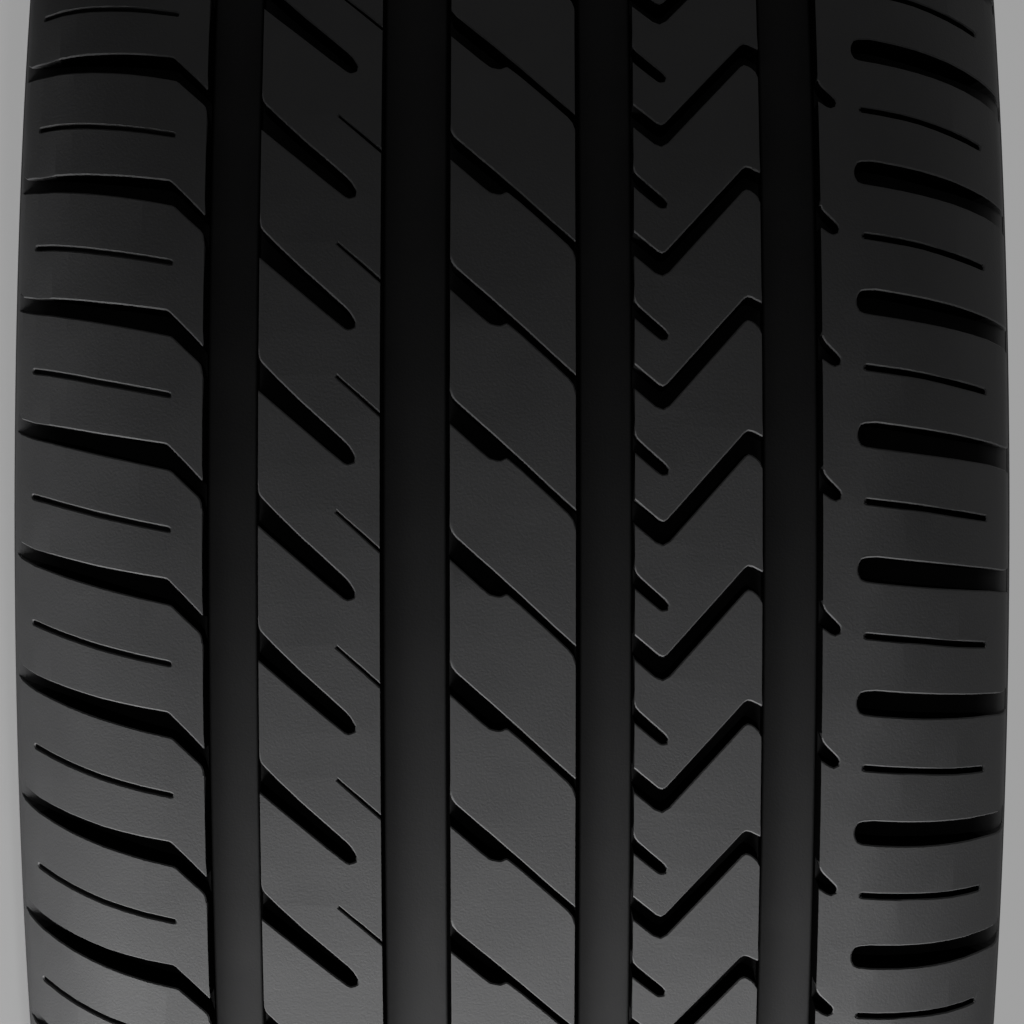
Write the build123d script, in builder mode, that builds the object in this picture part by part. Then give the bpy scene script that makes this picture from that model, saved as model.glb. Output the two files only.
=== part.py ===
from build123d import *
from math import atan2, copysign, cos, degrees, hypot, pi, sqrt
import os

# A low-profile road tyre, moulded in one piece from black rubber.
# It lies on its side: the spin axis is Z and the middle of the tread is at Z = 0.
# Lengths are in millimetres and angles in degrees.

# Overall size, and the rim that the tyre fits
outer_radius = 322.6
section_width = 236.0
bead_seat_radius = 231.0
rim_width = 203.2
bead_width = 13.6

# Sidewalls: widest between two places up the section, then drawn in to the rib that guards the rim.
# A place up the section is a share of the height from the bead seat to the crown.
widest_top = 0.513
widest_foot = 0.338
rim_guard_place = 0.153
rim_guard_inset = 5.0

# Inside: a flat crown, a slanted corner, the sidewall and the bead
crown_wall = 16.0
side_wall = 17.0
inner_flat_inset = 26.0
inner_corner_place = 0.655
bead_top_place = 0.1255

# Tread section: a nearly flat crown, then a shoulder in steps.
# Each step is (in from the widest place, drop below the middle of the crown).
crown_radius = 1500.0
shoulder_steps = ((30.0, 3.3), (15.0, 10.2), (3.0, 22.8))

# Grooves that run round the tyre, each from its lower to its upper edge across the tread
main_grooves = ((-70.3, -57.4), (-29.9, -14.0), (14.4, 27.8), (56.6, 70.3))
main_depth = 8.0

# The cross cuts repeat this many times round the tyre, and the tread's blocks are that long
pitch_count = 66
cut_depth = 6.0
clearance = 3.0

# Cross cuts of one pitch: places are (around, across) on the tread's plan
rib_slots = (
    (((-3.4, -59.5), (17.9, -36.6)), 4.4),
    (((6.4, -16.0), (33.6, 16.4)), 3.2),
    (((-18.6, 59.0), (5.2, 34.2), (-1.9, 25.5)), 4.2),
)

# Grooves of the two shoulders: start, slant as a length around for each length across, and width
shoulder_cuts = (((-10.1, -68.5), 0.213, 5.6), ((13.1, 79.0), 0.097, 5.7))
run_out_share = 0.75

# Where the flat blocks of each rib join, as a length round the tyre
rib_joints = (22.8, 6.4, 10.0)
lower_joint = -18.2
upper_joint = 15.5


def crown_drop(across):
    """How far the crown lies below the outer radius at a place across the tread."""
    return crown_radius - sqrt(crown_radius**2 - across**2)


def corner_radius(radius):
    """Radius of the corners of a ring of flat blocks that is as large as a round ring."""
    return 2 * radius / (1 + cos(pi / pitch_count))


def turn_for(length):
    """Angle that a length round the outside of the tyre takes up."""
    return degrees(length / outer_radius)


def up_section(share):
    """Radius at a place up the section."""
    return bead_seat_radius + share * (outer_radius - bead_seat_radius)


half_width = section_width / 2
half_rim = rim_width / 2
inside_half_width = half_width - side_wall
floor_radius = outer_radius - main_depth
inner_radius = outer_radius - crown_wall
seat_inner = half_rim - bead_width
shoulder_inner = main_grooves[-1][1]
ribs = [(low[1], high[0]) for low, high in zip(main_grooves, main_grooves[1:])]

# One pitch of the cross cuts, as a cutter
with BuildPart() as cuts:
    # Slots with walls that slope to a narrow floor
    for points, width in rib_slots:
        mouth = width / 2 * (cut_depth + clearance) / cut_depth
        with BuildLine() as run:
            Polyline(*[(outer_radius, *point) for point in points])
        ahead = run.line % 0
        with BuildSketch(Plane(run.line @ 0, x_dir=(0, -ahead.Z, ahead.Y), z_dir=ahead)):
            with BuildLine():
                Polyline((0, -cut_depth), (mouth, clearance), (-mouth, clearance), close=True)
            make_face()
        sweep(path=run.line, transition=Transition.RIGHT)

    # Shoulder grooves, which run out near the edge of the tread
    (low_inset, low_drop), (high_inset, high_drop) = shoulder_steps[-2:]
    run_out_place = half_width - low_inset + run_out_share * (low_inset - high_inset)
    run_out_drop = low_drop + run_out_share * (high_drop - low_drop)
    for start, slant, width in shoulder_cuts:
        side = copysign(1, start[1])
        stretch = hypot(1, slant)
        length = (half_width - abs(start[1])) * stretch
        run_out = (run_out_place - abs(start[1])) * stretch
        run_plane = Plane(
            origin=(0, *start),
            x_dir=(0, slant * side, side),
            z_dir=(0, side, -slant * side),
        )
        top = outer_radius + clearance
        floor_start = outer_radius - cut_depth - crown_drop(start[1])
        floor_fall = (floor_start - (outer_radius - run_out_drop)) / run_out
        with BuildSketch(run_plane):
            with BuildLine():
                Polyline(
                    (0, top),
                    (0, floor_start),
                    (length, floor_start - floor_fall * length),
                    (length, top),
                    close=True,
                )
            make_face()
        extrude(amount=width / 2, both=True)

# Shoulder of the tread, in steps that turn down to the sidewall
with BuildPart() as shoulder:
    steps = [(shoulder_inner, corner_radius(outer_radius - crown_drop(shoulder_inner)))]
    for inset, drop in shoulder_steps:
        steps.append((half_width - inset, corner_radius(outer_radius - drop)))
    steps.append((half_width, corner_radius(up_section(widest_top))))
    for (place, corner), (next_place, next_corner) in zip(steps, steps[1:]):
        rise = next_place - place
        fall = (corner - next_corner) * cos(pi / pitch_count)
        with BuildSketch(Plane.XY.offset(place)):
            RegularPolygon(corner, pitch_count)
        extrude(amount=rise, taper=degrees(atan2(fall, rise)))

with BuildPart() as tyre:
    # Floor of the main grooves, and the two shoulders
    with BuildSketch(Plane.XY):
        RegularPolygon(corner_radius(floor_radius), pitch_count)
    extrude(amount=shoulder_inner, both=True)
    add(shoulder.part, rotation=(0, 0, turn_for(upper_joint)))
    lower_shoulder = mirror(shoulder.part, about=Plane.XY, mode=Mode.PRIVATE)
    add(lower_shoulder, rotation=(0, 0, turn_for(lower_joint)))

    # Three ribs between the grooves
    for (low, high), joint in zip(ribs, rib_joints):
        rib_radius = outer_radius - crown_drop((low + high) / 2)
        with BuildSketch(Plane.XY.offset(low)):
            RegularPolygon(corner_radius(rib_radius), pitch_count, rotation=turn_for(joint))
        extrude(amount=high - low)

    # The tread becomes a ring, which the sidewalls and beads then fill from inside
    with BuildSketch(Plane.XY):
        Circle(up_section(widest_foot))
    extrude(amount=section_width, both=True, mode=Mode.SUBTRACT)
    with BuildSketch(Plane.XZ):
        with BuildLine():
            Polyline(
                (0, 0),
                (0, half_rim),
                (bead_seat_radius, half_rim),
                (up_section(rim_guard_place), half_width - rim_guard_inset),
                (up_section(widest_foot), half_width),
                (up_section(widest_foot), 0),
                close=True,
            )
        make_face()
        mirror(about=Plane.XZ)
    revolve(axis=Axis.Z)

    # Hollow inside, open to the bore between the beads
    with BuildSketch(Plane.XZ):
        with BuildLine():
            Polyline(
                (0, 0),
                (0, section_width),
                (bead_seat_radius, section_width),
                (bead_seat_radius, seat_inner),
                (up_section(bead_top_place), inside_half_width),
                (up_section(inner_corner_place), inside_half_width),
                (inner_radius, half_width - inner_flat_inset),
                (inner_radius, 0),
                close=True,
            )
        make_face()
        mirror(about=Plane.XZ)
    revolve(axis=Axis.Z, mode=Mode.SUBTRACT)

    # The cross cuts, round the whole tread
    with PolarLocations(0, pitch_count):
        add(cuts.part, mode=Mode.SUBTRACT)

tyre.part.label = "tyre"
os.makedirs("parts", exist_ok=True)
export_step(tyre.part, "parts/tyre.step")
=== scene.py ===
from math import atan2, cos, degrees, radians, sin, sqrt, tau

import bpy
from mathutils import Matrix, Vector


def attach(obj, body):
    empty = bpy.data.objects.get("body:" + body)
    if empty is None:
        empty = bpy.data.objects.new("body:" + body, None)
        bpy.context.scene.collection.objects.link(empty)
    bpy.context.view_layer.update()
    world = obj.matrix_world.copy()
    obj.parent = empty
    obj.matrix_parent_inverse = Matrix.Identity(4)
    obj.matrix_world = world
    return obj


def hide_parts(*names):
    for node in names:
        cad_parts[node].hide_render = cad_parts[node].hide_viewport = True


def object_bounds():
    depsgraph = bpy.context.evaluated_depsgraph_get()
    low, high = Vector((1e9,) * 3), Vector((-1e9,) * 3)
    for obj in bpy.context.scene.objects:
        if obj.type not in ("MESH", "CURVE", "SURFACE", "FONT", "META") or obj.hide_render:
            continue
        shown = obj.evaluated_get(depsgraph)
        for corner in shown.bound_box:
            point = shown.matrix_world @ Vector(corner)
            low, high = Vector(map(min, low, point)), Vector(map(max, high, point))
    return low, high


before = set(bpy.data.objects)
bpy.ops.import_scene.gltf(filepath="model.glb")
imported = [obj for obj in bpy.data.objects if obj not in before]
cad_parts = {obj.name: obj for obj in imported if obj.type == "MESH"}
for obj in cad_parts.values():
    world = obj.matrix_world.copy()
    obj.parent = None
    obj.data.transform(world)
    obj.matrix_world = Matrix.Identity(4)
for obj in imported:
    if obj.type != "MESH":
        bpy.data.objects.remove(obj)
cad_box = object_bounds()

# The tread: the thick outer band of black rubber, whose grooves the mould presses in.
# One pitch is drawn flat in millimetres, across along X and around along Y, with its
# surface at height 0. It is cut, rounded at its edges, repeated and bent round the tyre.
pitch_count = 66
outer_radius = 322.6
pitch = tau * outer_radius / pitch_count
pitch_start = -20.96
pitch_end = pitch_start + pitch
tread_reach = 126.0
slab_depth = 14.0
slab_pitches = 4
across_axis = Vector((1, 0, 0))
around_axis = Vector((0, 1, 0))
bpy.ops.object.select_all(action="DESELECT")
bpy.ops.mesh.primitive_cube_add(size=1.0, location=(0, 0, -slab_depth / 2))
tyre = bpy.context.object
tyre.name = "moulded_tyre"
bpy.ops.transform.resize(value=(2 * tread_reach, slab_pitches * pitch, slab_depth))
bpy.ops.object.transform_apply(location=True, rotation=True, scale=True)


def slice_slab(axis, place, **cleared):
    """Slices the whole slab at a place along an axis, and can clear what lies on one side."""
    bpy.ops.mesh.select_all(action="SELECT")
    bpy.ops.mesh.bisect(plane_co=place * axis, plane_no=axis, **cleared)


bpy.ops.object.mode_set(mode="EDIT")
for border in (pitch_start, pitch_end):
    slice_slab(around_axis, border)
bpy.ops.mesh.select_mode(type="EDGE")
bpy.ops.mesh.select_all(action="DESELECT")
bpy.ops.object.mode_set(mode="OBJECT")


def rounded(rail):
    """One edge of a cut, with its corners rounded.

    A point's third value is the length that its curve takes up each way.
    """
    corners = [Vector(point[:2]) for point in rail]
    points = []
    for index, point in enumerate(rail):
        corner = corners[index]
        if len(point) == 2:
            points.append(corner)
            continue
        back = corner + point[2] * (corners[index - 1] - corner).normalized()
        ahead = corner + point[2] * (corners[index + 1] - corner).normalized()
        points += [back, (back + 2 * corner + ahead) / 4, ahead]
    return points


def groove_shape(near, far, floor, lean):
    """A solid that fills one groove, from its two edges on the tread's surface.

    The floor's height is given at each point, and the walls lean in by a share of their height.
    """
    above = 1.0
    most_drawn_in = 0.3
    curve_points = 3
    heights = []
    for height, point in zip(floor, near):
        heights += [height] * (1 if len(point) == 2 else curve_points)
    near = rounded(near)
    far = rounded(far)
    count = len(near)
    bpy.ops.object.select_all(action="DESELECT")
    bpy.ops.mesh.primitive_grid_add(x_subdivisions=count - 1, y_subdivisions=1, size=1.0)
    shape = bpy.context.object
    floor_places = {}
    for index, height in enumerate(heights):
        near_edge = Vector((*near[index], above))
        far_edge = Vector((*far[index], above))
        span = far_edge - near_edge
        outwards = span.normalized()
        draw_in = min(lean * -height, most_drawn_in * span.length)
        for vertex, edge, side in ((index, near_edge, -1), (index + count, far_edge, 1)):
            top = edge + outwards * side * lean * above
            bottom = edge - outwards * side * draw_in
            shape.data.vertices[vertex].co = top
            floor_places[(round(top.x, 3), round(top.y, 3))] = (bottom.x, bottom.y, height)
    bpy.ops.object.mode_set(mode="EDIT")
    bpy.ops.mesh.select_all(action="SELECT")
    bpy.ops.mesh.extrude_region_move(TRANSFORM_OT_translate={"value": (0, 0, -2 * above)})
    bpy.ops.object.mode_set(mode="OBJECT")
    for vertex in shape.data.vertices:
        if vertex.co.z < 0:
            vertex.co = floor_places[(round(vertex.co.x, 3), round(vertex.co.y, 3))]
    bpy.ops.object.mode_set(mode="EDIT")
    bpy.ops.mesh.select_all(action="SELECT")
    bpy.ops.mesh.normals_make_consistent(inside=False)
    bpy.ops.object.mode_set(mode="OBJECT")
    return shape


def repeat(piece, count):
    """Repeats a piece along the tread, one pitch apart."""
    bpy.ops.object.modifier_add(type="ARRAY")
    copies = piece.modifiers[-1]
    copies.count = count
    copies.use_relative_offset = False
    copies.use_constant_offset = True
    copies.constant_offset_displace = (0, pitch, 0)
    copies.use_merge_vertices = True
    copies.merge_threshold = 0.002
    bpy.ops.object.modifier_apply(modifier=copies.name)


def press_in(shape):
    """Presses a groove's shape into the tread."""
    bpy.ops.object.select_all(action="DESELECT")
    tyre.select_set(True)
    bpy.context.view_layer.objects.active = tyre
    bpy.ops.object.modifier_add(type="BOOLEAN")
    carve = tyre.modifiers[-1]
    carve.operation = "DIFFERENCE"
    carve.solver = "EXACT"
    carve.object = shape
    bpy.ops.object.modifier_apply(modifier=carve.name)
    bpy.data.objects.remove(shape)


# The four straight main grooves, with walls that lean a little. The foot of each wall has a corner of
# painted shade, which is wide where the wall faces away from the middle of the tread.
main_edges = ((-70.1, -57.4), (-29.9, -14.0), (14.4, 27.8), (56.6, 70.4))
main_depth = 8.0
main_lean = 0.05
main_run = 70.0
wide_shade_corner = 0.7
main_feet = []
for left, right in main_edges:
    near = [(left, -main_run), (left, main_run)]
    far = [(right, -main_run), (right, main_run)]
    press_in(groove_shape(near, far, [-main_depth, -main_depth], main_lean))
    for edge, inwards in ((left, 1), (right, -1)):
        foot = edge + inwards * main_lean * main_depth
        shade_corner_width = wide_shade_corner if foot * inwards > 0 else 0.0
        main_feet.append((foot, inwards, shade_corner_width))

# The slanted cuts of one pitch: the edge nearer the top of the picture, the other edge, and the
# height of the floor. The shoulder grooves run out towards the tread's edges.
slot_floor = -6.5
notch_floor = -5.5
sipe_floor = -5.0
shallow_sipe_floor = -2.2
left_groove = (
    [(-125, -29.4), (-121.9, -27.1), (-118.6, -24.6), (-116.1, -23.1), (-110, -21.6), (-102, -19.8),
     (-94, -18.1), (-84.5, -16.5), (-78.1, -15.5, 0.6), (-73.8, -11.1), (-70.9, -8.0, 0.3), (-66, -2.8)],
    [(-125, -22.9), (-121.9, -21.6), (-118.6, -20.4), (-116.1, -19.5), (-110, -17.8), (-102, -15.4),
     (-94, -13.3), (-84.5, -11.1), (-77.2, -9.5, 0.6), (-73.8, -6.2), (-70.3, -2.9, 1.0), (-69.8, 1.6)],
    [0.6, 0.3, -0.1, -0.7, -3.0, -5.6] + [slot_floor] * 6,
)
left_sipe = (
    [(-110.9, -4.0), (-110.6, -4.25), (-110, -4.2), (-102, -2.0), (-94, 0.05), (-84.5, 2.1),
     (-77.9, 3.4), (-77.5, 3.6), (-77.3, 3.8)],
    [(-110.9, -3.5), (-110.6, -3.2), (-110, -3.05), (-102, -0.9), (-94, 1.15), (-84.5, 3.2),
     (-77.9, 4.5), (-77.5, 4.5), (-77.3, 4.3)],
    [shallow_sipe_floor] * 9,
)
second_slot = (
    [(-57.7, -7.4), (-57.2, -3.9, 0.9), (-53.4, 0.1), (-47.8, 5.6), (-42.1, 10.8), (-36.6, 15.9, 1.6),
     (-35.5, 18.2)],
    [(-61, -0.4), (-57.2, 3.2, 0.9), (-53.4, 6.5), (-47.8, 11.3), (-42.1, 16.2), (-37.2, 20.2, 1.0),
     (-35.7, 19.4)],
    [slot_floor] * 7,
)
second_sipe = (
    [(-39.6, -0.3), (-37.6, 1.5), (-34.2, 4.4), (-31, 7.3), (-27, 10.9)],
    [(-39.8, 0.1), (-37.6, 2.1), (-34.2, 5.2), (-31, 8.1), (-27, 11.7)],
    [sipe_floor] * 5,
)
middle_slot = (
    [(-14.3, 0.8), (-13.9, 4.6, 1.6), (-7.1, 10.7), (-4.9, 12.6, 0.5), (-2.6, 14.7, 0.6),
     (-1.2, 16.0, 0.6), (1.9, 18.8), (8.7, 25.2), (14.3, 30.3, 1.0), (18, 33.7)],
    [(-18, 7.1), (-13.9, 10.8, 1.6), (-7.1, 16.9), (-4.9, 18.7, 0.5), (-2.6, 19.2, 0.6),
     (-1.2, 18.4, 0.6), (1.9, 21.0), (8.7, 27.2), (14.2, 32.4, 2.0), (14.8, 36.4)],
    [slot_floor] * 10,
)
zigzag_slot = (
    [(24, -5.8), (27.6, -2.9), (34.2, 2.7, 1.4), (53.3, -18.8, 1.2), (56.6, -17.1, 0.4), (60, -15.3)],
    [(24, -0.4), (27.6, 2.6), (34.2, 8.2, 2.2), (53.4, -13.5, 1.2), (56.4, -11.4, 1.4), (56.9, -7.6)],
    [slot_floor] * 6,
)
fourth_notch = (
    [(27.4, -20.2), (27.8, -16.9, 1.2), (31.3, -13.7), (34.7, -10.7, 0.6), (35.4, -9.6)],
    [(24, -16.6), (27.8, -13.4, 1.2), (31.3, -10.4), (33.9, -8.3, 0.6), (35.1, -8.6)],
    [notch_floor] * 5,
)
fifth_notch = (
    [(70.0, -11.6), (70.6, -8.6, 1.0), (73.3, -5.8), (74.2, -4.8), (74.5, -3.9)],
    [(66, -5.4), (70.6, -4.2, 0.6), (72.2, -3.0), (73.2, -2.6), (74.2, -3.0)],
    [notch_floor] * 5,
)
right_groove = (
    [(78.3, 12.6), (78.8, 10.5, 1.3), (82.6, 10.3), (89.5, 11.1), (94, 11.6), (102, 12.6), (110, 13.8),
     (116.1, 14.6), (121.9, 14.6), (125.5, 14.4)],
    [(78.3, 13.5), (78.8, 15.6, 1.3), (82.6, 16.2), (89.5, 17.0), (94, 17.5), (102, 18.3), (110, 19.2),
     (116.1, 20.0), (121.9, 20.5), (125.5, 20.6)],
    [slot_floor] * 5 + [-5.8, -3.6, -1.9, -0.8, -0.2],
)
right_sipe = (
    [(79.9, -2.6), (80.2, -2.95), (80.6, -3.0), (89.5, -2.0), (94, -1.4), (102, -0.25),
     (108.6, 0.8), (109.0, 1.1), (109.2, 1.4)],
    [(79.9, -2.0), (80.2, -1.75), (80.6, -1.65), (89.5, -0.6), (94, -0.05), (102, 1.25),
     (108.6, 2.2), (109.0, 2.2), (109.2, 2.0)],
    [sipe_floor] * 9,
)
slanted_cuts = (
    left_groove, left_sipe, second_slot, second_sipe, middle_slot,
    zigzag_slot, fourth_notch, fifth_notch, right_groove, right_sipe,
)
cut_lean = 0.07
cut_pitches = 3
for near, far, floor in slanted_cuts:
    shape = groove_shape(near, far, floor, cut_lean)
    shape.data.transform(Matrix.Translation((0, -pitch, 0)))
    repeat(shape, cut_pitches)
    press_in(shape)

# The rims of the slanted cuts are rounded, as rubber is, and the main grooves keep plain edges.
# A face's rise is how far it looks up: 1 on the tread's surface and 0 on an upright wall.
rim_round = 0.3
tolerance = 0.01
surface_rise = 0.99
rim_wall_rise = 0.9
slab_half_length = slab_pitches * pitch / 2
main_sides = [side for edges in main_edges for side in edges]
neighbours = {}
for polygon in tyre.data.polygons:
    for key in polygon.edge_keys:
        neighbours.setdefault(key, []).append(polygon.normal.z)
for group in (tyre.data.polygons, tyre.data.vertices, tyre.data.edges):
    for element in group:
        element.select = False
for edge in tyre.data.edges:
    rises = neighbours[edge.key]
    ends = [tyre.data.vertices[index].co for index in edge.vertices]
    on_surface = min(end.z for end in ends) > -tolerance
    is_rim = on_surface and max(rises) > surface_rise and min(rises) < rim_wall_rise
    at_side = min(abs(end.x) for end in ends) > tread_reach - tolerance
    at_end = min(abs(end.y) for end in ends) > slab_half_length - tolerance
    along_main = any(max(abs(end.x - side) for end in ends) < 2 * tolerance for side in main_sides)
    edge.select = is_rim and not at_side and not at_end and not along_main
bpy.ops.object.mode_set(mode="EDIT")
bpy.ops.mesh.bevel(offset=rim_round, segments=1, affect="EDGES", clamp_overlap=False)

# One pitch is kept, and sliced into strips that can follow the curve of the tread.
# The main grooves' floors are sliced where their corners of painted shade start to fade and where they
# end.
strips_around = 3
strip_places = (79.0, 84.5, 89.5, 94.0, 98.0, 102.0, 106.0, 110.0, 113.1, 116.1, 118.6, 121.9)
shade_corner_fade = 0.6
slice_slab(around_axis, pitch_start, clear_inner=True)
slice_slab(around_axis, pitch_end, clear_outer=True)
for strip in range(1, strips_around):
    slice_slab(around_axis, pitch_start + strip * pitch / strips_around)
for place in strip_places:
    for side in (-1, 1):
        slice_slab(across_axis, side * place)
for foot, inwards, shade_corner_width in main_feet:
    for reach in (shade_corner_width, shade_corner_width + shade_corner_fade):
        if reach > 0:
            slice_slab(across_axis, foot + inwards * reach)
bpy.ops.mesh.select_mode(type="VERT")
bpy.ops.mesh.select_all(action="DESELECT")
bpy.ops.object.mode_set(mode="OBJECT")

# Points that almost meet are merged, except at the pitch's two ends, and large faces are split evenly.
# The points are put in order first, so that every run merges them alike.
margin = 0.1
merge_reach = 0.08
for vertex in tyre.data.vertices:
    vertex.select = pitch_start + margin < vertex.co.y < pitch_end - margin
bpy.ops.object.mode_set(mode="EDIT")
bpy.ops.mesh.sort_elements(type="CURSOR_DISTANCE", elements={"VERT"})
bpy.ops.mesh.remove_doubles(threshold=merge_reach)
bpy.ops.mesh.select_all(action="DESELECT")
bpy.ops.mesh.select_face_by_sides(number=4, type="GREATER")
bpy.ops.mesh.quads_convert_to_tris(ngon_method="BEAUTY")
bpy.ops.mesh.select_all(action="DESELECT")
bpy.ops.object.mode_set(mode="OBJECT")

# Only the outside is kept: the slab's underside and its two sides go
for polygon in tyre.data.polygons:
    corners = [tyre.data.vertices[index].co for index in polygon.vertices]
    is_underside = max(corner.z for corner in corners) < margin - slab_depth
    is_side = min(abs(corner.x) for corner in corners) > tread_reach - tolerance
    polygon.select = is_underside or is_side
bpy.ops.object.mode_set(mode="EDIT")
bpy.ops.mesh.select_mode(type="FACE")
bpy.ops.mesh.delete(type="FACE")
bpy.ops.object.mode_set(mode="OBJECT")
repeat(tyre, pitch_count)

# How dark each face down in the cuts is painted, as painted shade: a wall by the depth of its foot, and a
# floor by its own depth.
# The main grooves' floors have painted shade of their own, and are painted full dark in the corners.
painted_shade_full_depth = 4.5
slot_floor_painted_shade = 0.82
main_floor_painted_shade = 0.52
wall_rise = 0.5
floor_rise = 0.85
painted_shade = []
for polygon in tyre.data.polygons:
    corners = [tyre.data.vertices[index].co for index in polygon.vertices]
    foot_height = min(corner.z for corner in corners)
    for corner in corners:
        if polygon.normal.z < wall_rise:
            painted_shade.append(min(1.0, -foot_height / painted_shade_full_depth))
        elif corner.z < 1 - main_depth:
            # Painted shade: a main groove's floor is painted full dark in the corner at the foot of its
            # wall.
            in_shaded_corner = any(abs(corner.x - foot) < width + margin for foot, inwards, width in main_feet)
            painted_shade.append(1.0 if in_shaded_corner else main_floor_painted_shade)
        elif polygon.normal.z > floor_rise:
            painted_shade.append(min(slot_floor_painted_shade, max(0.0, -corner.z / painted_shade_full_depth)))
        else:
            painted_shade.append(0.0)
# The painted shade is kept on each face corner, for the rubber to darken the cuts by.
painted_groove_shade = tyre.data.attributes.new("painted_groove_shade", "FLOAT", "CORNER")
painted_groove_shade.data.foreach_set("value", painted_shade)

# The flat tread is bent to the section of crown and shoulders, and round the spin axis.
# The outermost edge turns down in steps: place on the flat tread, place across, radius and slope.
crown_arc = 1500.0
shoulder_start = 79.0
shoulder_arc = 44.0
edge_section = (
    (110.0, 110.0, 305.32, 49.2),
    (113.1, 112.0, 302.9, 53.5),
    (116.1, 113.7, 300.4, 60.0),
    (118.6, 114.7, 298.2, 70.0),
    (121.9, 115.5, 295.0, 77.0),
    (130.0, 116.6, 287.0, 82.0),
)


def tread_section(across):
    """Place across, radius and slope in degrees of the tread's surface, from a place on the flat tread."""
    reach = abs(across)
    if reach <= shoulder_start:
        slope = reach / crown_arc
        return reach, outer_radius - reach**2 / (2 * crown_arc), degrees(slope)
    if reach <= edge_section[0][0]:
        start = shoulder_start / crown_arc
        sine = start + (reach - shoulder_start) / shoulder_arc
        slope = atan2(sine, sqrt(1 - sine**2))
        drop = shoulder_start**2 / (2 * crown_arc) + shoulder_arc * (sqrt(1 - start**2) - cos(slope))
        return reach, outer_radius - drop, degrees(slope)
    for inner, outer in zip(edge_section, edge_section[1:]):
        if reach <= outer[0]:
            share = (reach - inner[0]) / (outer[0] - inner[0])
            return tuple(low + share * (high - low) for low, high in zip(inner[1:], outer[1:]))
    return edge_section[-1][1:]


def on_tyre(place, radius, turn):
    """A point of the tyre in metres, from its place across and radius in millimetres and its turn."""
    return (radius * cos(turn) / 1000, radius * sin(turn) / 1000, place / 1000)


for vertex in tyre.data.vertices:
    across, around, height = vertex.co
    place, radius, slope = tread_section(across)
    side = 1 if across > 0 else -1
    place = side * (place + height * sin(radians(slope)))
    radius = radius + height * cos(radians(slope))
    vertex.co = on_tyre(place, radius, around / outer_radius)

# The sidewalls, beads and inside: thinner rubber over the cords, and a stiff bead that grips the rim.
# Half of the section is drawn from the tread's edge to the middle of the inside, and mirrored.
# It is turned round the spin axis and joined to the tread, as one moulding.
edge_place, edge_radius = tread_section(tread_reach)[:2]
half_section = [
    (edge_place, edge_radius),
    (116.7, 287.0), (117.0, 284.6), (117.4, 284.2), (117.45, 283.4), (117.2, 283.0), (117.6, 279.5),
    (117.9, 275.5), (118.0, 271.5), (117.7, 265.0), (116.6, 258.5), (115.5, 255.6), (115.4, 254.6),
    (115.8, 253.6), (115.9, 252.0), (115.5, 250.2), (114.4, 248.6), (112.4, 247.0), (109.8, 244.6),
    (107.2, 241.5), (103.6, 236.9), (101.3, 233.0), (99.8, 231.6), (97.6, 231.0), (90.5, 231.0),
    (88.9, 231.4), (88.3, 232.4), (89.0, 233.6), (95.8, 239.4), (98.8, 242.4), (100.4, 246.0),
    (101.0, 251.0), (101.0, 276.0), (100.7, 284.0), (99.3, 291.4), (96.3, 297.8), (91.0, 303.0),
    (84.4, 305.7), (76.0, 306.6),
]
section = half_section + [(-place, radius) for place, radius in reversed(half_section)]
around_steps = strips_around * pitch_count
bpy.ops.object.select_all(action="DESELECT")
bpy.ops.mesh.primitive_circle_add(vertices=len(section), radius=1.0, fill_type="NOTHING")
carcass = bpy.context.object
carcass.name = "sidewalls_and_beads"
for vertex, (place, radius) in zip(carcass.data.vertices, section):
    vertex.co = on_tyre(place, radius, pitch_start / outer_radius)
last = len(section) - 1
for edge in carcass.data.edges:
    edge.select = set(edge.vertices) == {0, last}
for vertex in carcass.data.vertices:
    vertex.select = False
bpy.ops.object.mode_set(mode="EDIT")
bpy.ops.mesh.select_mode(type="EDGE")
bpy.ops.mesh.delete(type="EDGE_FACE")
bpy.ops.mesh.select_all(action="SELECT")
bpy.ops.mesh.spin(steps=around_steps, angle=tau, use_auto_merge=True, center=(0, 0, 0), axis=(0, 0, 1))
bpy.ops.object.mode_set(mode="OBJECT")
tyre.select_set(True)
bpy.context.view_layer.objects.active = tyre
bpy.ops.object.join()
bpy.ops.object.mode_set(mode="EDIT")
bpy.ops.mesh.select_mode(type="VERT")
bpy.ops.mesh.select_all(action="SELECT")
bpy.ops.mesh.remove_doubles(threshold=2e-5)
bpy.ops.mesh.normals_make_consistent(inside=False)
bpy.ops.object.mode_set(mode="OBJECT")
bpy.ops.object.shade_smooth_by_angle(angle=radians(40))
bpy.ops.object.modifier_add(type="WEIGHTED_NORMAL")
tyre.modifiers[-1].keep_sharp = True
bpy.ops.object.modifier_apply(modifier=tyre.modifiers[-1].name)


# Black rubber: matt, finely grained where it was moulded, and painted darker and less shiny down in the
# cuts, as painted shade
def grey(level):
    """A plain grey, as a node's colour."""
    return (level, level, level, 1)


surface_shine = 0.3
rubber = bpy.data.materials.new("tread_rubber")
rubber.use_nodes = True
nodes = rubber.node_tree.nodes
links = rubber.node_tree.links
shader = nodes["Principled BSDF"]
shader.inputs["IOR"].default_value = 1.5
shader.inputs["Specular IOR Level"].default_value = surface_shine
place = nodes.new("ShaderNodeTexCoord")
depth = nodes.new("ShaderNodeAttribute")
depth.attribute_name = "painted_groove_shade"
clouds = nodes.new("ShaderNodeTexNoise")
clouds.inputs["Scale"].default_value = 70.0
clouds.inputs["Detail"].default_value = 4.0
links.new(place.outputs["Object"], clouds.inputs["Vector"])
bare = nodes.new("ShaderNodeMix")
bare.data_type = "RGBA"
bare.inputs["A"].default_value = (0.042, 0.042, 0.043, 1)
bare.inputs["B"].default_value = (0.056, 0.056, 0.057, 1)
links.new(clouds.outputs["Fac"], bare.inputs["Factor"])
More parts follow.
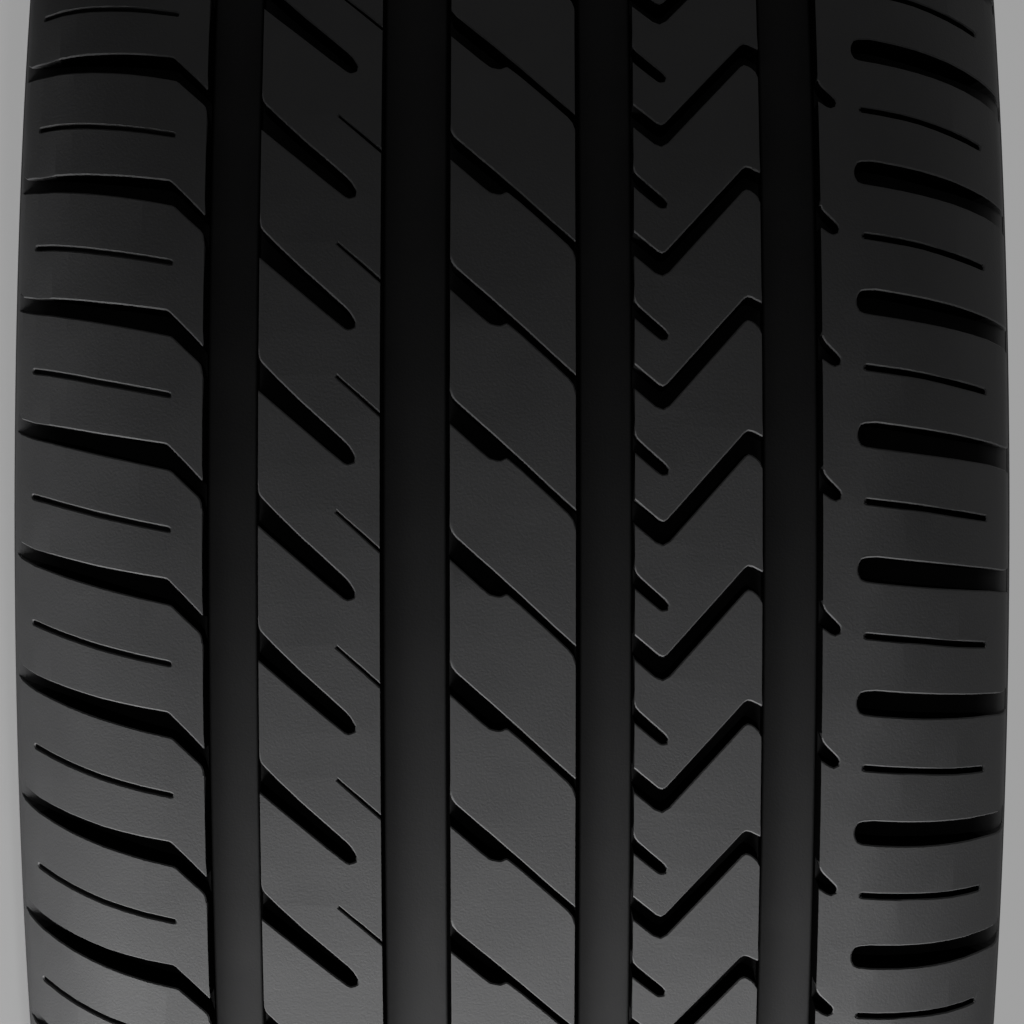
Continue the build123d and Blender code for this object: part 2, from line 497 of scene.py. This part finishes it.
# Painted shade: the rubber's colour is mixed towards near black where the cuts' painted shade is.
painted_shade_mix = nodes.new("ShaderNodeMix")
painted_shade_mix.data_type = "RGBA"
painted_shade_mix.inputs["B"].default_value = grey(0.0015)
links.new(depth.outputs["Fac"], painted_shade_mix.inputs["Factor"])
links.new(bare.outputs["Result"], painted_shade_mix.inputs["A"])
links.new(painted_shade_mix.outputs["Result"], shader.inputs["Base Color"])
polish = nodes.new("ShaderNodeMapRange")
polish.inputs["To Min"].default_value = 0.52
polish.inputs["To Max"].default_value = 0.66
links.new(clouds.outputs["Fac"], polish.inputs["Value"])
# Painted shade: the shine is turned down where the cuts' painted shade is.
shine_in_painted_shade = nodes.new("ShaderNodeMapRange")
shine_in_painted_shade.inputs["To Min"].default_value = surface_shine
shine_in_painted_shade.inputs["To Max"].default_value = 0.0
links.new(depth.outputs["Fac"], shine_in_painted_shade.inputs["Value"])
links.new(shine_in_painted_shade.outputs["Result"], shader.inputs["Specular IOR Level"])
rougher = nodes.new("ShaderNodeMix")
rougher.inputs["B"].default_value = 0.9
links.new(depth.outputs["Fac"], rougher.inputs["Factor"])
links.new(polish.outputs["Result"], rougher.inputs["A"])
links.new(rougher.outputs["Result"], shader.inputs["Roughness"])
grain = nodes.new("ShaderNodeTexNoise")
grain.inputs["Scale"].default_value = 1800.0
grain.inputs["Detail"].default_value = 3.0
links.new(place.outputs["Object"], grain.inputs["Vector"])
relief = nodes.new("ShaderNodeBump")
relief.inputs["Strength"].default_value = 0.28
relief.inputs["Distance"].default_value = 0.0002
links.new(grain.outputs["Fac"], relief.inputs["Height"])
links.new(relief.outputs["Normal"], shader.inputs["Normal"])
tyre.data.materials.clear()
tyre.data.materials.append(rubber)
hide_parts("tyre")
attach(tyre, "root")

# The studio floor: plain pale paper under the sidewall, which looks a little lit by itself.
# It keeps the tyre's shadow but casts none, so that the low lamp reaches the lower shoulder.
bpy.ops.object.select_all(action="DESELECT")
bpy.ops.mesh.primitive_plane_add(size=8.0, location=(0, 0, cad_box[0][2]))
floor = bpy.context.object
floor.name = "studio_floor"
bpy.ops.object.transform_apply(location=True, rotation=True, scale=True)
paper = bpy.data.materials.new("pale_floor")
paper.use_nodes = True
nodes = paper.node_tree.nodes
links = paper.node_tree.links
matt = nodes["Principled BSDF"]
matt.inputs["Base Color"].default_value = grey(0.5)
matt.inputs["Roughness"].default_value = 0.9
lit = nodes.new("ShaderNodeEmission")
lit.inputs["Color"].default_value = grey(0.62)
seen = nodes.new("ShaderNodeLightPath")
share = nodes.new("ShaderNodeMath")
share.operation = "MULTIPLY"
share.inputs[1].default_value = 0.5
links.new(seen.outputs["Is Camera Ray"], share.inputs[0])
blend = nodes.new("ShaderNodeMixShader")
links.new(share.outputs["Value"], blend.inputs["Fac"])
links.new(matt.outputs["BSDF"], blend.inputs[1])
links.new(lit.outputs["Emission"], blend.inputs[2])
links.new(blend.outputs["Shader"], nodes["Material Output"].inputs["Surface"])
floor.data.materials.append(paper)
floor.visible_shadow = False

# The studio's surround: soft grey light that is weaker in front of the tread, and a plain grey backdrop
world = bpy.data.worlds.new("studio")
bpy.context.scene.world = world
world.use_nodes = True
nodes = world.node_tree.nodes
links = world.node_tree.links
around_light = nodes["Background"]
facing = nodes.new("ShaderNodeTexCoord")
apart = nodes.new("ShaderNodeSeparateXYZ")
links.new(facing.outputs["Generated"], apart.inputs["Vector"])
forward = nodes.new("ShaderNodeMapRange")
forward.interpolation_type = "SMOOTHSTEP"
forward.inputs["From Min"].default_value = -0.1
forward.inputs["From Max"].default_value = 0.6
links.new(apart.outputs["X"], forward.inputs["Value"])
surround = nodes.new("ShaderNodeMix")
surround.data_type = "RGBA"
surround.inputs["A"].default_value = grey(0.24)
surround.inputs["B"].default_value = grey(0.1)
links.new(forward.outputs["Result"], surround.inputs["Factor"])
links.new(surround.outputs["Result"], around_light.inputs["Color"])
backdrop = nodes.new("ShaderNodeBackground")
backdrop.inputs["Color"].default_value = grey(0.35)
seen = nodes.new("ShaderNodeLightPath")
blend = nodes.new("ShaderNodeMixShader")
links.new(seen.outputs["Is Camera Ray"], blend.inputs["Fac"])
links.new(around_light.outputs["Background"], blend.inputs[1])
links.new(backdrop.outputs["Background"], blend.inputs[2])
links.new(blend.outputs["Shader"], nodes["World Output"].inputs["Surface"])

# Two soft lamps past the foot of the picture, one level with the tread's middle and one below the floor
lamp_size = 0.9
lamp_aim = Vector((0.2, 0, 0))
lamps = (
    ("key_lamp", (0.41, 1.55, 0.0), 31.0),
    ("low_lamp", (0.37, 1.4, -0.68), 46.0),
)
for name, location, watts in lamps:
    bpy.ops.object.light_add(type="AREA", location=location)
    light = bpy.context.object
    light.name = name
    light.visible_camera = False
    light.data.shape = "SQUARE"
    light.data.size = lamp_size
    light.data.energy = watts
    light.rotation_euler = (lamp_aim - Vector(location)).to_track_quat("-Z", "Y").to_euler()

# The camera looks straight at the tread, and is turned so that the spin axis runs across the picture
camera_distance = 1.16
picture_width = 1024
focal_pixels = 3712
sensor_width = 36.0
bpy.ops.object.camera_add(location=(camera_distance, 0, 0))
camera = bpy.context.object
camera.rotation_euler = Matrix(((0, 0, 1), (0, -1, 0), (1, 0, 0))).to_euler()
camera.data.sensor_width = sensor_width
camera.data.lens = focal_pixels / picture_width * sensor_width
camera.data.clip_start = 0.05
bpy.context.scene.camera = camera
bpy.context.scene.view_settings.view_transform = "Standard"
